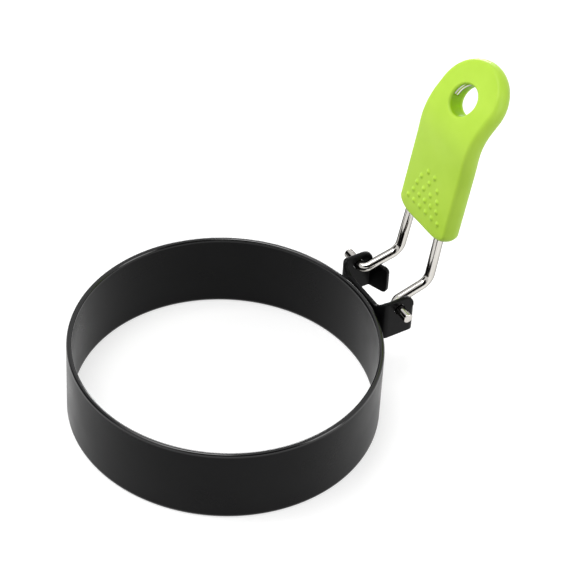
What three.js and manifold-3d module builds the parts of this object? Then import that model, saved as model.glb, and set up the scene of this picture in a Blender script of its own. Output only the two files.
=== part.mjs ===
// An egg ring: a round coated steel band, a bent sheet bracket on its side, and a wire handle
// with a soft grip, which hinges on the bracket and rests on its two stop flaps.
// Millimetres, +Z up. The band's centre is on the Z axis, its lower rim is at zero height and
// the handle stands on the +X side. The last lines move the origin to the middle of the base.

import * as THREE from 'three';
import { mergeVertices } from 'three/addons/utils/BufferGeometryUtils.js';
import Module from 'manifold-3d';

// Clearances, and how far a cutter runs past a solid and joined blocks run into each other.
const runningGap = 0.3;
const cutOverrun = 2;
const joinOverlap = 0.05;

// The band.
const bandRadius = 50;
const bandHeight = 27;
const bandWall = 1.75;
const rimRound = 0.45;
const bandSides = 72;
const rimSteps = 2;

// The wire, one length bent into a hairpin. Its two ends are turned outwards as the hinge pin.
const wireRadius = 1.6;
const wireSides = 10;
const wireSteps = 160;
const legSpread = 8.95;
const pinCorner = 2.35;
const pinProud = 5.4;
const pinOut = 5;
const pinDrop = 0.8;
const legLength = 13.8;
const legRise = THREE.MathUtils.degToRad(13.8);
const elbowRadius = 4.5;
const stemLength = 16.05;
const gripRise = THREE.MathUtils.degToRad(80.3);
const loopLand = 0.05;

// The bracket, one sheet: a base on the band, two ears for the pin and a stop flap on each ear.
const sheet = 1.5;
const sheetBend = 1;
const sheetSteps = 4;
const pinHoleSides = 24;
const earPlay = 0.2;
const earLand = 3.5;
const earCrown = 0.9;
const earCorner = 3;
const earSlope = 4.6;
const earFootRise = 0.9;
const scoopHalfWidth = 9.8;
const scoopDrop = 1;
const scoopRound = 3;
const baseReach = 11.6;
const flapTurn = THREE.MathUtils.degToRad(69);
const flapBend = 0.3;
const flapInset = 1.2;
const flapPast = 3.75;
const flapCorner = 1.8;

// The grip, a soft sleeve that follows the wire and bends back towards its round head.
const gripStraight = 33.15;
const gripHalfWidth = 13.4;
const gripCover = 1.4;
const gripSetBack = 0.6;
const gripCornerRun = 7.5;
const gripCornerRise = 4.5;
const gripEndRound = 1.4;
const headBend = 22.5;
const headRise = THREE.MathUtils.degToRad(48.5);
const headTipRound = 3.2;
const holeAlong = 48.2;
const headPast = 0.75;
const holeRadius = 5.1;
const holeLip = 0.5;
const holeSides = 40;
const gripRings = 40;
const gripSides = 32;
const acrossPower = 6;
const depthPower = 2.2;

// The raised dots on the front of the grip, in rows that shorten up the grip.
const dotRadius = 0.85;
const dotHeight = 0.45;
const dotStart = 6.95;
const dotRowPitch = 3.35;
const dotCounts = [6, 5, 4, 3, 2];
const dotSpanShares = [0.63, 0.49, 0.43, 0.335, 0.137];
const dotDetail = 1;

// Sizes that follow from the ones above.
const pinRadius = wireRadius + runningGap;
const baseInner = bandRadius + runningGap;
const baseOuter = baseInner + sheet;
const pinX = baseOuter + pinOut;
const pinZ = bandHeight - pinDrop;
const earInner = legSpread + pinCorner + earPlay;
const earOuter = earInner + sheet;
const earEnd = pinX + pinRadius + earLand;
const earTop = pinZ + pinRadius + earCrown;
const earFoot = bandHeight + earFootRise;
const scoopFloor = bandHeight - scoopDrop;
const baseBottom = bandHeight - baseReach;
const elbowTurn = gripRise - legRise;
const elbowTangent = elbowRadius * Math.tan(elbowTurn / 2);
const headTurn = gripRise - headRise;
const flapBendX = earEnd - flapInset;
const flapBendY = earInner - flapBend;
const flapTip = legSpread - flapPast;
const flapInnerX = flapBendX + flapBend * Math.sin(flapTurn);
const flapTop = pinZ + (flapInnerX - pinX) * Math.tan(legRise)
  - wireRadius / Math.cos(legRise) - runningGap;
const gripStart = legLength + stemLength - 2 * elbowTangent + elbowRadius * elbowTurn;
const holeAt = gripStart + holeAlong;
const headAlong = holeAlong + headPast;
const gripLength = headAlong + gripHalfWidth;
const loopRadius = holeRadius + wireRadius + loopLand;
const gripHalfThick = wireRadius + runningGap + gripCover;

const quarter = Math.PI / 2;
const wasm = await Module();
wasm.setup();

const coating = { color: 0x1d1d1f, roughness: 0.36, metalness: 0.25 };
const steel = { color: 0xc8c9cb, roughness: 0.12, metalness: 1 };
const silicone = { color: 0xb3da4c, roughness: 0.5, metalness: 0 };

// Gives a geometry with shared vertices and positions only.
function welded(geometry) {
  geometry.deleteAttribute('normal');
  geometry.deleteAttribute('uv');
  return mergeVertices(geometry);
}

// Turns a closed geometry into a solid for cutting and joining.
function solidOf(geometry) {
  const mesh = welded(geometry);
  return new wasm.Manifold(new wasm.Mesh({
    numProp: 3,
    vertProperties: new Float32Array(mesh.attributes.position.array),
    triVerts: new Uint32Array(mesh.index.array),
  }));
}

// Turns a solid back into a geometry.
function geometryOf(solid) {
  const mesh = solid.getMesh();
  const geometry = new THREE.BufferGeometry();
  geometry.setAttribute('position', new THREE.BufferAttribute(mesh.vertProperties, mesh.numProp));
  geometry.setIndex(new THREE.BufferAttribute(mesh.triVerts, 1));
  return geometry;
}

// Makes a named mesh with flat-shaded faces.
function piece(name, geometry, finish) {
  const flat = geometry.index ? geometry.toNonIndexed() : geometry;
  flat.computeVertexNormals();
  const mesh = new THREE.Mesh(flat, new THREE.MeshStandardMaterial(finish));
  mesh.name = name;
  return mesh;
}

// Runs an outline straight to the start of an arc about a centre, and then along the arc.
function addArc(outline, x, y, radius, from, to) {
  outline.lineTo(x + radius * Math.cos(from), y + radius * Math.sin(from));
  outline.absarc(x, y, radius, from, to, to < from);
}

// The band: a rectangle with rounded corners, turned about the Z axis.
function bandGeometry() {
  const innerRadius = bandRadius - bandWall;
  const corners = [
    [bandRadius - rimRound, rimRound, -quarter],
    [bandRadius - rimRound, bandHeight - rimRound, 0],
    [innerRadius + rimRound, bandHeight - rimRound, quarter],
    [innerRadius + rimRound, rimRound, 2 * quarter],
  ];
  const profile = [];
  for (const [x, y, from] of corners) {
    for (let step = 0; step <= rimSteps; step += 1) {
      const angle = from + quarter * step / rimSteps;
      profile.push(new THREE.Vector2(x + rimRound * Math.cos(angle), y + rimRound * Math.sin(angle)));
    }
  }
  profile.push(profile[0].clone());
  return new THREE.LatheGeometry(profile, bandSides).rotateX(quarter);
}

// The handle's side line, from the pin's axis: straight runs joined by arcs. Gives the place
// and the rise of the line at a length along it, with the pin's axis at zero.
function sideAt(along) {
  const runs = [
    [legLength - elbowTangent, 0],
    [elbowRadius * elbowTurn, elbowTurn],
    [stemLength + gripStraight - elbowTangent, 0],
    [headBend * headTurn, -headTurn],
    [Infinity, 0],
  ];
  let [x, z, rise, left] = [0, 0, legRise, along];
  for (const [length, turn] of runs) {
    const step = Math.min(left, length);
    if (turn === 0) {
      x += step * Math.cos(rise);
      z += step * Math.sin(rise);
    } else {
      const radius = length / turn;
      const next = rise + turn * step / length;
      x += radius * (Math.sin(next) - Math.sin(rise));
      z += radius * (Math.cos(rise) - Math.cos(next));
      rise = next;
    }
    left -= step;
  }
  return { x, z, rise };
}

// Places a point by its length along the handle, its distance across and its depth, where a
// positive depth lies behind the wire, away from the band.
function place(along, across, depth, target = new THREE.Vector3()) {
  const { x, z, rise } = sideAt(along);
  return target.set(x + depth * Math.sin(rise), across, z - depth * Math.cos(rise));
}

// The hairpin laid flat: its length along the handle and its distance across.
function wirePlan() {
  const cornerAcross = legSpread + pinCorner;
  const pinEnd = earOuter + pinProud;
  const plan = new THREE.Path();
  plan.moveTo(0, pinEnd);
  addArc(plan, pinCorner, cornerAcross, pinCorner, 2 * quarter, 3 * quarter);
  addArc(plan, holeAt, 0, loopRadius, quarter, -quarter);
  addArc(plan, pinCorner, -cornerAcross, pinCorner, quarter, 2 * quarter);
  plan.lineTo(0, -pinEnd);
  return plan;
}

// The hairpin as a curve in space, folded along the handle's side line.
class WireLine extends THREE.Curve {
  constructor() {
    super();
    this.plan = wirePlan();
  }

  getPoint(share, target = new THREE.Vector3()) {
    const spot = this.plan.getPoint(share);
    return place(spot.x, spot.y, 0, target);
  }
}

// A round bar of the given radius along the hairpin.
function wireGeometry(radius) {
  const section = new THREE.Shape();
  for (let side = 0; side < wireSides; side += 1) {
    const angle = 2 * Math.PI * side / wireSides;
    const spot = [radius * Math.cos(angle), radius * Math.sin(angle)];
    if (side === 0) section.moveTo(...spot);
    else section.lineTo(...spot);
  }
  section.closePath();
  return new THREE.ExtrudeGeometry(section, {
    steps: wireSteps,
    extrudePath: new WireLine(),
    bevelEnabled: false,
  });
}

// Raises an outline into a block between two heights.
function block(shape, low, high) {
  const options = { depth: high - low, bevelEnabled: false, curveSegments: sheetSteps };
  return new THREE.ExtrudeGeometry(shape, options).translate(0, 0, low);
}

// Adds the bracket's two bends at the base to an outline, on the outer or the inner side.
function addBaseBends(plan, radius, inwards) {
  const [x, y] = [baseInner + sheetBend + sheet, earInner - sheetBend];
  const bends = [[y, quarter, 2 * quarter], [-y, 2 * quarter, 3 * quarter]];
  if (inwards) bends.reverse();
  for (const [across, from, to] of bends) {
    addArc(plan, x, across, radius, inwards ? to : from, inwards ? from : to);
  }
}

// The upper part of the bracket seen from above: ear, base and ear.
function earPlan() {
  const plan = new THREE.Shape();
  plan.moveTo(earEnd, earOuter);
  addBaseBends(plan, sheetBend + sheet, false);
  plan.lineTo(earEnd, -earOuter);
  plan.lineTo(earEnd, -earInner);
  addBaseBends(plan, sheetBend, true);
  plan.lineTo(earEnd, earInner);
  plan.closePath();
  return plan;
}

// The lower part of the bracket seen from above: flap, ear, base, ear and flap.
function flapPlan() {
  const [inner, outer] = [flapBend, flapBend + sheet];
  const angle = quarter - flapTurn;
  const reach = (flapBendY - flapTip + cutOverrun) / Math.sin(flapTurn);
  const end = (radius) => [
    flapBendX + radius * Math.cos(angle) + reach * Math.cos(flapTurn),
    flapBendY + radius * Math.sin(angle) - reach * Math.sin(flapTurn),
  ];
  const [[outerX, outerY], [innerX, innerY]] = [end(outer), end(inner)];
  const plan = new THREE.Shape();
  plan.moveTo(outerX, outerY);
  addArc(plan, flapBendX, flapBendY, outer, angle, quarter);
  addBaseBends(plan, sheetBend + sheet, false);
  addArc(plan, flapBendX, -flapBendY, outer, -quarter, -angle);
  plan.lineTo(outerX, -outerY);
  plan.lineTo(innerX, -innerY);
  addArc(plan, flapBendX, -flapBendY, inner, -angle, -quarter);
  addBaseBends(plan, sheetBend, true);
  addArc(plan, flapBendX, flapBendY, inner, quarter, angle);
  plan.lineTo(innerX, innerY);
  plan.closePath();
  return plan;
}

// The ears' outline seen from the side, with the slope down to the base.
function earSide() {
  const [nearX, farX] = [baseInner - cutOverrun, earEnd + cutOverrun];
  const side = new THREE.Shape();
  side.moveTo(nearX, baseBottom);
  side.lineTo(farX, baseBottom);
  side.lineTo(farX, flapTop);
  side.lineTo(earEnd, flapTop);
  addArc(side, earEnd - earCorner, earTop - earCorner, earCorner, 0, quarter);
  side.lineTo(baseOuter + earSlope, earTop);
  side.quadraticCurveTo(baseOuter + earSlope / 2, earTop, baseInner, earFoot);
  side.lineTo(nearX, earFoot);
  side.closePath();
  return side;
}

// The scoop in the top of the base, between the ears.
function scoopOutline() {
  const [across, above] = [scoopHalfWidth - scoopRound, scoopFloor + scoopRound];
  const scoop = new THREE.Shape();
  scoop.moveTo(scoopHalfWidth, earTop + cutOverrun);
  scoop.lineTo(-scoopHalfWidth, earTop + cutOverrun);
  addArc(scoop, -across, above, scoopRound, 2 * quarter, 3 * quarter);
  addArc(scoop, across, above, scoopRound, -quarter, 0);
  scoop.closePath();
  return scoop;
}

// The space between the two flap tips seen from the band, flared where their corners round off.
function flapSlot() {
  const [low, high] = [baseBottom + flapCorner, flapTop - flapCorner];
  const wide = flapTip + flapCorner;
  const slot = new THREE.Shape();
  slot.moveTo(wide, baseBottom - cutOverrun);
  addArc(slot, wide, low, flapCorner, -quarter, -2 * quarter);
  addArc(slot, wide, high, flapCorner, 2 * quarter, quarter);
  slot.lineTo(wide, flapTop + cutOverrun);
  slot.lineTo(-wide, flapTop + cutOverrun);
  addArc(slot, -wide, high, flapCorner, quarter, 0);
  addArc(slot, -wide, low, flapCorner, 0, -quarter);
  slot.lineTo(-wide, baseBottom - cutOverrun);
  slot.closePath();
  return slot;
}

// Lays an outline drawn across the handle as a block between two distances out from the middle.
function crossBlock(shape, near, far) {
  return block(shape, near, far).rotateX(quarter).rotateZ(quarter);
}

// The bracket: the ears inside their side outline, on the sheet with the flaps, less the slot
// between the flaps, the scoop and the pin's holes.
function bracketGeometry() {
  const across = earOuter + cutOverrun;
  const side = block(earSide(), -across, across).rotateX(quarter);
  const ears = solidOf(block(earPlan(), flapTop - joinOverlap, earTop + cutOverrun)).intersect(solidOf(side));
  const slot = crossBlock(flapSlot(), baseOuter + cutOverrun, 2 * earEnd - baseOuter);
  const scoop = crossBlock(scoopOutline(), baseInner - cutOverrun, baseOuter + cutOverrun);
  const flaps = solidOf(block(flapPlan(), baseBottom, flapTop)).subtract(solidOf(slot));
  const pinHole = new THREE.CylinderGeometry(pinRadius, pinRadius, 2 * across, pinHoleSides);
  pinHole.translate(pinX, 0, pinZ);
  return geometryOf(ears.add(flaps).subtract(solidOf(scoop)).subtract(solidOf(pinHole)));
}

// Half the grip's width at a length along the grip: even, with a round head.
function gripHalfWidthAt(along) {
  if (along > headAlong) return Math.sqrt(Math.max(gripHalfWidth ** 2 - (along - headAlong) ** 2, 0));
  const corner = Math.max(1 - along / gripCornerRise, 0);
  return gripHalfWidth - gripCornerRun * (1 - Math.sqrt(1 - corner ** 2));
}

// Half the grip's thickness at a length along the grip, rounded off at both ends.
function gripHalfThickAt(along) {
  const fromStart = Math.max(1 - along / gripEndRound, 0);
  const fromTip = Math.max(1 - (gripLength - along) / headTipRound, 0);
  return gripHalfThick * Math.sqrt(1 - Math.max(fromStart, fromTip) ** 2);
}

// A closed skin over rings of points, with a middle point at each end.
function skin(rings, ends) {
  const sides = rings[0].length;
  const points = [...rings.flat(), ...ends];
  const index = [];
  for (let side = 0; side < sides; side += 1) {
    const next = (side + 1) % sides;
    for (let ring = 0; ring < rings.length - 1; ring += 1) {
      const [near, far] = [ring * sides, (ring + 1) * sides];
      index.push(near + side, far + next, near + next, near + side, far + side, far + next);
    }
    const last = (rings.length - 1) * sides;
    index.push(points.length - 2, side, next);
    index.push(points.length - 1, last + next, last + side);
  }
  const geometry = new THREE.BufferGeometry().setFromPoints(points);
  geometry.setIndex(index);
  return geometry;
}

// A number raised to a power that keeps its sign.
function signedPower(value, power) {
  return Math.sign(value) * Math.abs(value) ** power;
}

// The plain sleeve: flattened oval sections along the wire, closer together near both ends.
function sleeveGeometry() {
  const rings = [];
  for (let ring = 1; ring < gripRings; ring += 1) {
    const along = gripLength * (1 - Math.cos(Math.PI * ring / gripRings)) / 2;
    const [wide, thick] = [gripHalfWidthAt(along), gripHalfThickAt(along)];
    const section = [];
    for (let side = 0; side < gripSides; side += 1) {
      const angle = 2 * Math.PI * side / gripSides;
      const across = wide * signedPower(Math.cos(angle), 2 / acrossPower);
      const depth = thick * signedPower(Math.sin(angle), 2 / depthPower);
      section.push(place(gripStart + along, across, gripSetBack + depth));
    }
    rings.push(section);
  }
  const ends = [place(gripStart, 0, gripSetBack), place(gripStart + gripLength, 0, gripSetBack)];
  return skin(rings, ends);
}

// The hanging hole's cutter, which flares at both faces of the head.
function holeGeometry() {
  const mouth = holeRadius + holeLip;
  const profile = [
    [0, -2 * gripHalfThick],
    [mouth, -2 * gripHalfThick],
    [mouth, -gripHalfThick],
    [holeRadius, holeLip - gripHalfThick],
    [holeRadius, gripHalfThick - holeLip],
    [mouth, gripHalfThick],
    [mouth, 2 * gripHalfThick],
    [0, 2 * gripHalfThick],
  ].map(([x, y]) => new THREE.Vector2(x, y));
  const centre = place(holeAt, 0, gripSetBack);
  const lean = sideAt(holeAt).rise;
  const cutter = new THREE.LatheGeometry(profile, holeSides).rotateX(quarter);
  return cutter.rotateY(quarter + lean).translate(centre.x, centre.y, centre.z);
}

// The dots' places on the grip's front: their length along the grip and distance across.
function dotPlaces() {
  return dotCounts.flatMap((count, row) => {
    const span = gripHalfWidth * dotSpanShares[row];
    const along = dotStart + row * dotRowPitch;
    return Array.from({ length: count }, (_, at) => [along, span * (2 * at / (count - 1) - 1)]);
  });
}

// One dot, a small ball that stands out of the grip's front face.
function dotGeometry(along, across) {
  const flatness = 1 - Math.abs(across / gripHalfWidthAt(along)) ** acrossPower;
  const front = gripSetBack - gripHalfThickAt(along) * flatness ** (1 / depthPower);
  const centre = place(gripStart + along, across, front - dotHeight + dotRadius);
  return new THREE.IcosahedronGeometry(dotRadius, dotDetail).translate(centre.x, centre.y, centre.z);
}

// The grip: the sleeve with its dots, less the wire's tunnel and the hanging hole.
function gripGeometry() {
  let grip = solidOf(sleeveGeometry());
  for (const [along, across] of dotPlaces()) grip = grip.add(solidOf(dotGeometry(along, across)));
  const tunnel = solidOf(wireGeometry(wireRadius + runningGap));
  return geometryOf(grip.subtract(tunnel).subtract(solidOf(holeGeometry())));
}

const handle = new THREE.Group();
handle.name = 'handle';
handle.position.set(pinX, 0, pinZ);
handle.add(piece('wire_handle', wireGeometry(wireRadius), steel));
handle.add(piece('grip', gripGeometry(), silicone));

const eggRing = new THREE.Group();
eggRing.name = 'egg_ring';
eggRing.add(piece('ring_band', bandGeometry(), coating));
eggRing.add(piece('hinge_bracket', bracketGeometry(), coating));
eggRing.add(handle);

// Move the origin to the middle of the box that holds the whole part, at its base.
const bounds = new THREE.Box3().setFromObject(eggRing);
const middle = bounds.getCenter(new THREE.Vector3());
eggRing.position.set(-middle.x, -middle.y, -bounds.min.z);

export default eggRing;
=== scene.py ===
"""An egg ring with a folding wire handle, dressed for rendering.

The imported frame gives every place. Each sub-assembly is a class that works out its surfaces with
numpy, in millimetres from the middle of the ring's base, and puts them into the row frame.
"""

from __future__ import annotations

import logging
import math
from dataclasses import dataclass, field
from enum import Enum

import bpy
import numpy as np
from mathutils import Matrix, Vector
from mathutils.geometry import delaunay_2d_cdt

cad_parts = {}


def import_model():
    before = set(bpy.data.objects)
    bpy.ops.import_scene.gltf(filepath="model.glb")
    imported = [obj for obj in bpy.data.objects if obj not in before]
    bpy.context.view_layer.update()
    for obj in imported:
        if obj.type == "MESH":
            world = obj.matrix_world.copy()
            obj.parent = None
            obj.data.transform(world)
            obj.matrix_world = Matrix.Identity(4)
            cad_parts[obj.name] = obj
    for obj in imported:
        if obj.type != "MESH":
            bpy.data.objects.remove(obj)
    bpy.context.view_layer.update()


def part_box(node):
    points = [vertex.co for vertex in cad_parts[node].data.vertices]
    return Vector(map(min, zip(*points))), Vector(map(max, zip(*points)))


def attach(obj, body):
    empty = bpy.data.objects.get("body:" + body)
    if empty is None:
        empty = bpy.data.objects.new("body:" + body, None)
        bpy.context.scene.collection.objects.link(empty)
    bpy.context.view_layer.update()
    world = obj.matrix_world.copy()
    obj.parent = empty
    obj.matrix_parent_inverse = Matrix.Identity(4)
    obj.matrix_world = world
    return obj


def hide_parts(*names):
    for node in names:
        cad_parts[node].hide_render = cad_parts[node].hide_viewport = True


LOG = logging.getLogger("egg_ring")
MM = 0.001
PHOTO_PX = 576
SENSOR_MM = 36.0
# A crease angle at which no edge shades sharp.
NO_CREASE = 180.0

# Most of a noise's values lie in these spans, for slow patches and for a fine grain.
PATCH_SPAN = {"From Min": 0.35, "From Max": 0.65}
GRAIN_SPAN = {"From Min": 0.3, "From Max": 0.7}
NOISE_DETAIL = 2.0
# A Mix node's two colours and its result have these numbers, because their names come twice.
MIX_FACTOR, MIX_FIRST, MIX_SECOND, MIX_RESULT = 0, 6, 7, 2

Array = np.ndarray


class Body(Enum):
    """The two rigid bodies of the egg ring."""

    RING = "ring"
    HANDLE = "handle"


class Slot(Enum):
    """The record's material slots."""

    COATING = "coating"
    WIRE = "wire"
    GRIP = "grip"


def linear(colour: str) -> tuple[float, float, float, float]:
    """Turns a colour as written into the renderer's linear light.

    Args:
        colour: sRGB hex, such as "#1c1c1e".

    Returns:
        Linear red, green, blue and an alpha of one.
    """
    levels = [int(colour[at : at + 2], 16) / 255 for at in (1, 3, 5)]
    red, green, blue = (
        level / 12.92 if level <= 0.04045 else ((level + 0.055) / 1.055) ** 2.4 for level in levels
    )
    return red, green, blue, 1.0


def arc(start: float, end: float, steps: int) -> Array:
    """Even angles from start to end in radians, both ends included."""
    return np.linspace(start, end, steps + 1)


def smoothstep(low: float, high: float, value: Array) -> Array:
    """Rises from 0 at low to 1 at high as 3t^2 - 2t^3, and stays level outside."""
    share = np.clip((value - low) / (high - low), 0.0, 1.0)
    return share * share * (3 - 2 * share)


def grid_quads(rows: int, columns: int, wrap_rows: bool, wrap_columns: bool) -> Array:
    """Joins the neighbours of a grid of points by quads.

    Args:
        rows: number of rows of points.
        columns: number of points in a row.
        wrap_rows: whether the last row joins the first.
        wrap_columns: whether the last point of a row joins its first.

    Returns:
        Vertex numbers of the quads, four to a line.
    """
    row = np.arange(rows if wrap_rows else rows - 1)
    column = np.arange(columns if wrap_columns else columns - 1)
    low, left = np.meshgrid(row, column, indexing="ij")
    high, right = (low + 1) % rows, (left + 1) % columns
    low, high = low * columns, high * columns
    corners = [low + left, high + left, high + right, low + right]
    return np.stack(corners, axis=-1).reshape(-1, 4)


def enclosed(points: Array, triangles: Array) -> float:
    """Signed volume: the sum of a . (b x c) / 6 over the triangles."""
    a, b, c = (points[triangles[:, corner]] for corner in range(3))
    return float(np.einsum("ij,ij->i", a, np.cross(b, c)).sum() / 6)


@dataclass
class Surface:
    """A closed surface in millimetres from the middle of the ring's base.

    Attributes:
        points: one point a line.
        quads: vertex numbers of its quads.
        triangles: vertex numbers of its triangles.
        extras: by name, a number or a vector for each point, which a material reads.
    """

    points: Array
    quads: Array = field(default_factory=lambda: np.empty((0, 4), int))
    triangles: Array = field(default_factory=lambda: np.empty((0, 3), int))
    extras: dict[str, Array] = field(default_factory=dict)

    def outwards(self) -> Surface:
        """Turns every face round if the surface holds a negative volume.

        Returns:
            The surface itself, with faces that point outwards.
        """
        halves = [self.quads[:, [0, 1, 2]], self.quads[:, [0, 2, 3]], self.triangles]
        if enclosed(self.points, np.concatenate(halves)) < 0:
            self.quads, self.triangles = self.quads[:, ::-1], self.triangles[:, ::-1]
        return self


@dataclass(frozen=True)
class Bench:
    """Where the egg ring stands in the row frame.

    Attributes:
        centre: middle of the ring's base in the row frame, in metres.
    """

    centre: tuple[float, float, float]

    @classmethod
    def from_frame(cls) -> Bench:
        """Reads the ring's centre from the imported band."""
        low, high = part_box("ring_band")
        return cls(((low.x + high.x) / 2, (low.y + high.y) / 2, low.z))

    def to_row(self, points: Array) -> Array:
        """Millimetres from the ring's centre to metres in the row frame."""
        return points * MM + np.array(self.centre)

    def piece(
        self,
        name: str,
        surface: Surface,
        finish: bpy.types.Material,
        crease_deg: float = NO_CREASE,
    ) -> bpy.types.Object:
        """Makes one object of a surface, at the origin, with its place in its mesh.

        Args:
            name: the piece's name.
            surface: its closed surface.
            finish: its material.
            crease_deg: edges that turn more than this shade sharp.

        Returns:
            The new object, linked into the scene.
        """
        surface = surface.outwards()
        mesh = bpy.data.meshes.new(name)
        faces = surface.quads.tolist() + surface.triangles.tolist()
        mesh.from_pydata(self.to_row(surface.points).tolist(), [], faces)
        for label, values in surface.extras.items():
            kind, entry = ("FLOAT", "value") if values.ndim == 1 else ("FLOAT_VECTOR", "vector")
            layer = mesh.attributes.new(label, kind, "POINT")
            layer.data.foreach_set(entry, values.astype(np.float32).ravel())
        mesh.shade_smooth()
        if crease_deg < NO_CREASE:
            mesh.set_sharp_from_angle(angle=math.radians(crease_deg))
        mesh.materials.append(finish)
        made = bpy.data.objects.new(name, mesh)
        bpy.context.scene.collection.objects.link(made)
        return made


def hand_over(piece: bpy.types.Object, body: Body, node: str) -> None:
    """Gives a piece its body, lets it stand for a CAD node, and logs it.

    Args:
        piece: the finished object.
        body: the body that it moves with.
        node: the CAD node that it stands for.
    """
    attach(piece, body.value)
    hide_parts(node)
    faces = len(piece.data.polygons)
    LOG.info("%s: %d faces, rides on %s, stands for %s", piece.name, faces, body.value, node)


def add_node(
    tree: bpy.types.NodeTree,
    kind: str,
    values: dict[str | int, object] | None = None,
    links: dict[str | int, bpy.types.NodeSocket] | None = None,
    **settings: object,
) -> bpy.types.Node:
    """Adds a node with its settings, its input values and the sockets that feed it.

    Args:
        tree: the node tree.
        kind: the node's type name.
        values: input values by socket name or number.
        links: output sockets to join, by input socket name or number.
        settings: properties of the node itself.

    Returns:
        The new node.
    """
    node = tree.nodes.new(kind)
    for name, value in settings.items():
        setattr(node, name, value)
    for socket, value in (values or {}).items():
        node.inputs[socket].default_value = value
    for socket, source in (links or {}).items():
        tree.links.new(source, node.inputs[socket])
    return node


def blank_material(name: str) -> tuple[bpy.types.Material, bpy.types.NodeTree]:
    """Makes a material without nodes.

    Args:
        name: the material's name.

    Returns:
        The material and its empty node tree.
    """
    material = bpy.data.materials.new(name)
    material.use_nodes = True
    material.node_tree.nodes.clear()
    return material, material.node_tree


@dataclass(frozen=True)
class CoatedSteel:
    """Steel with a sprayed and baked non-stick coating: near-black, satin, slightly pebbled.

    The coating is a fluoropolymer, so its gloss is weaker than paint's. A fine pebble from the
    spray breaks up reflections, and slow changes in gloss come from its uneven thickness. The
    real pebble is about 0.1 mm, which is too fine to show, so it is drawn at pebble_mm.
    On the band's rims the coating is thinner and rubbed smooth, so they mirror more sharply.
    """

    dark: str = "#0b0b0c"
    light: str = "#0f0f10"
    roughness: tuple[float, float] = (0.27, 0.34)
    ior: float = 1.35
    gloss: float = 0.15
    rim_gloss: float = 1.0
    rim_roughness: float = 0.12
    pebble_mm: float = 0.35
    pebble_detail: float = 1.0
    pebble_strength: float = 0.25
    pebble_depth_mm: float = 0.02
    patch_mm: float = 14.0

    def material(self) -> bpy.types.Material:
        """The coating on Object coordinates, with the rims from the attribute "rubbed".

        Returns:
            The new material.
        """
        material, tree = blank_material("non_stick_coating")
        where = {"Vector": add_node(tree, "ShaderNodeTexCoord").outputs["Object"]}
        scale = {"Scale": 1 / (self.pebble_mm * MM), "Detail": self.pebble_detail}
        pebble = add_node(tree, "ShaderNodeTexNoise", scale, where)
        height = {"Height": pebble.outputs["Fac"]}
        depth = {"Strength": self.pebble_strength, "Distance": self.pebble_depth_mm * MM}
        bump = add_node(tree, "ShaderNodeBump", depth, height)
        scale = {"Scale": 1 / (self.patch_mm * MM), "Detail": NOISE_DETAIL}
        patch = add_node(tree, "ShaderNodeTexNoise", scale, where)
        value = {"Value": patch.outputs["Fac"]}
        share = add_node(tree, "ShaderNodeMapRange", PATCH_SPAN, value).outputs["Result"]
        colours = {MIX_FIRST: linear(self.dark), MIX_SECOND: linear(self.light)}
        colour = add_node(tree, "ShaderNodeMix", colours, {MIX_FACTOR: share}, data_type="RGBA")
        span = {"A": self.roughness[0], "B": self.roughness[1]}
        satin = add_node(tree, "ShaderNodeMix", span, {"Factor": share}).outputs["Result"]
        rubbed = add_node(tree, "ShaderNodeAttribute", attribute_name="rubbed").outputs["Fac"]
        links = {"Factor": rubbed, "A": satin}
        roughness = add_node(tree, "ShaderNodeMix", {"B": self.rim_roughness}, links)
        span = {"A": self.gloss, "B": self.rim_gloss}
        gloss = add_node(tree, "ShaderNodeMix", span, {"Factor": rubbed})
        shader = add_node(
            tree,
            "ShaderNodeBsdfPrincipled",
            {"IOR": self.ior},
            {
                "Base Color": colour.outputs[MIX_RESULT],
                "Roughness": roughness.outputs["Result"],
                "Specular IOR Level": gloss.outputs["Result"],
                "Normal": bump.outputs["Normal"],
            },
        )
        add_node(tree, "ShaderNodeOutputMaterial", None, {"Surface": shader.outputs["BSDF"]})
        return material


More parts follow.
